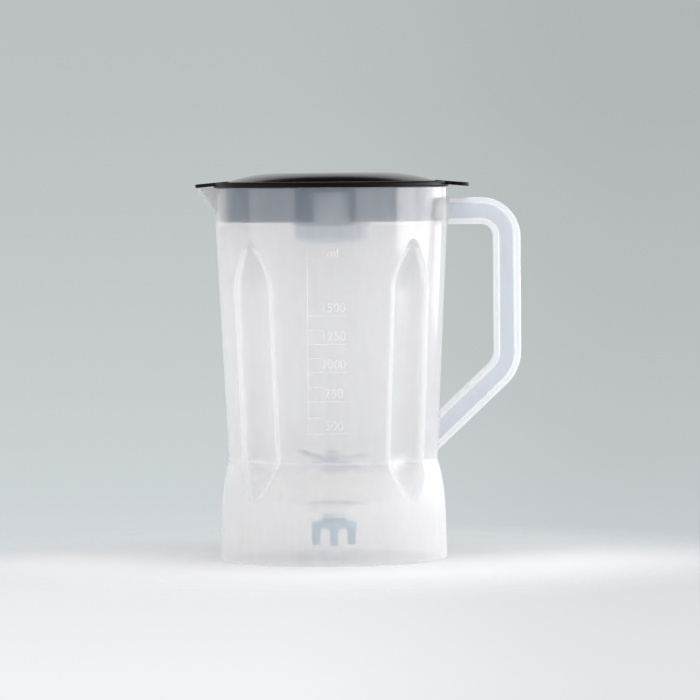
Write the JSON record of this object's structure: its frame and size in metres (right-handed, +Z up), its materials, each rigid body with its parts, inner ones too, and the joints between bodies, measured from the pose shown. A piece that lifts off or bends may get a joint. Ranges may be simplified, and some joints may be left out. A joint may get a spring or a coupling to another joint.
{
  "type": "blender jar",
  "caption": "Milky see-through fluted blender jar with spout, I-section handle, black plug lid, filler cap, blade unit and blue clawed drive coupling.",
  "frame": {"origin": "on the jar's axis, in the plane of the foot that it stands on", "axes": "+Z up along the jar's axis, +X towards the handle, -X towards the spout, -Y towards the picture's camera"},
  "size_m": [0.2041, 0.148, 0.243],
  "materials": {
    "jar_plastic": "milky see-through moulded polypropylene",
    "lid_plastic": "glossy black moulded plastic",
    "cap_plastic": "milky see-through moulded plastic",
    "housing_plastic": "pale moulded plastic",
    "coupling_plastic": "blue moulded plastic",
    "seal_rubber": "grey rubber",
    "bush_metal": "sintered bronze",
    "blade_steel": "brushed stainless steel"
  },
  "bodies": {
    "jar_body": {"jar": "jar_plastic", "bearing_housing": "housing_plastic", "housing_gasket": "seal_rubber", "housing_nut": "housing_plastic", "upper_bush": "bush_metal", "lower_bush": "bush_metal", "shaft_seal": "seal_rubber"},
    "rotor": {"shaft": "blade_steel", "thrust_washer": "blade_steel", "retaining_clip": "blade_steel", "blade_collar": "blade_steel", "lower_blade": "blade_steel", "blade_spacer": "blade_steel", "upper_blade": "blade_steel", "blade_nut": "blade_steel", "drive_coupling": "coupling_plastic"},
    "lid_body": {"lid": "lid_plastic"},
    "cap_body": {"filler_cap": "cap_plastic"}
  },
  "joints": [
    {"name": "blade_spin", "type": "hinge", "parent": "jar_body", "child": "rotor", "pos_m": [0, 0, 0.05], "axis": [0, 0, 1], "continuous": true},
    {"name": "lid_lift", "type": "slide", "parent": "jar_body", "child": "lid_body", "axis": [0, 0, 1], "range_m": [0, 0.06]},
    {"name": "cap_lift", "type": "slide", "parent": "lid_body", "child": "cap_body", "axis": [0, 0, 1], "range_m": [0, 0.05]}
  ]
}
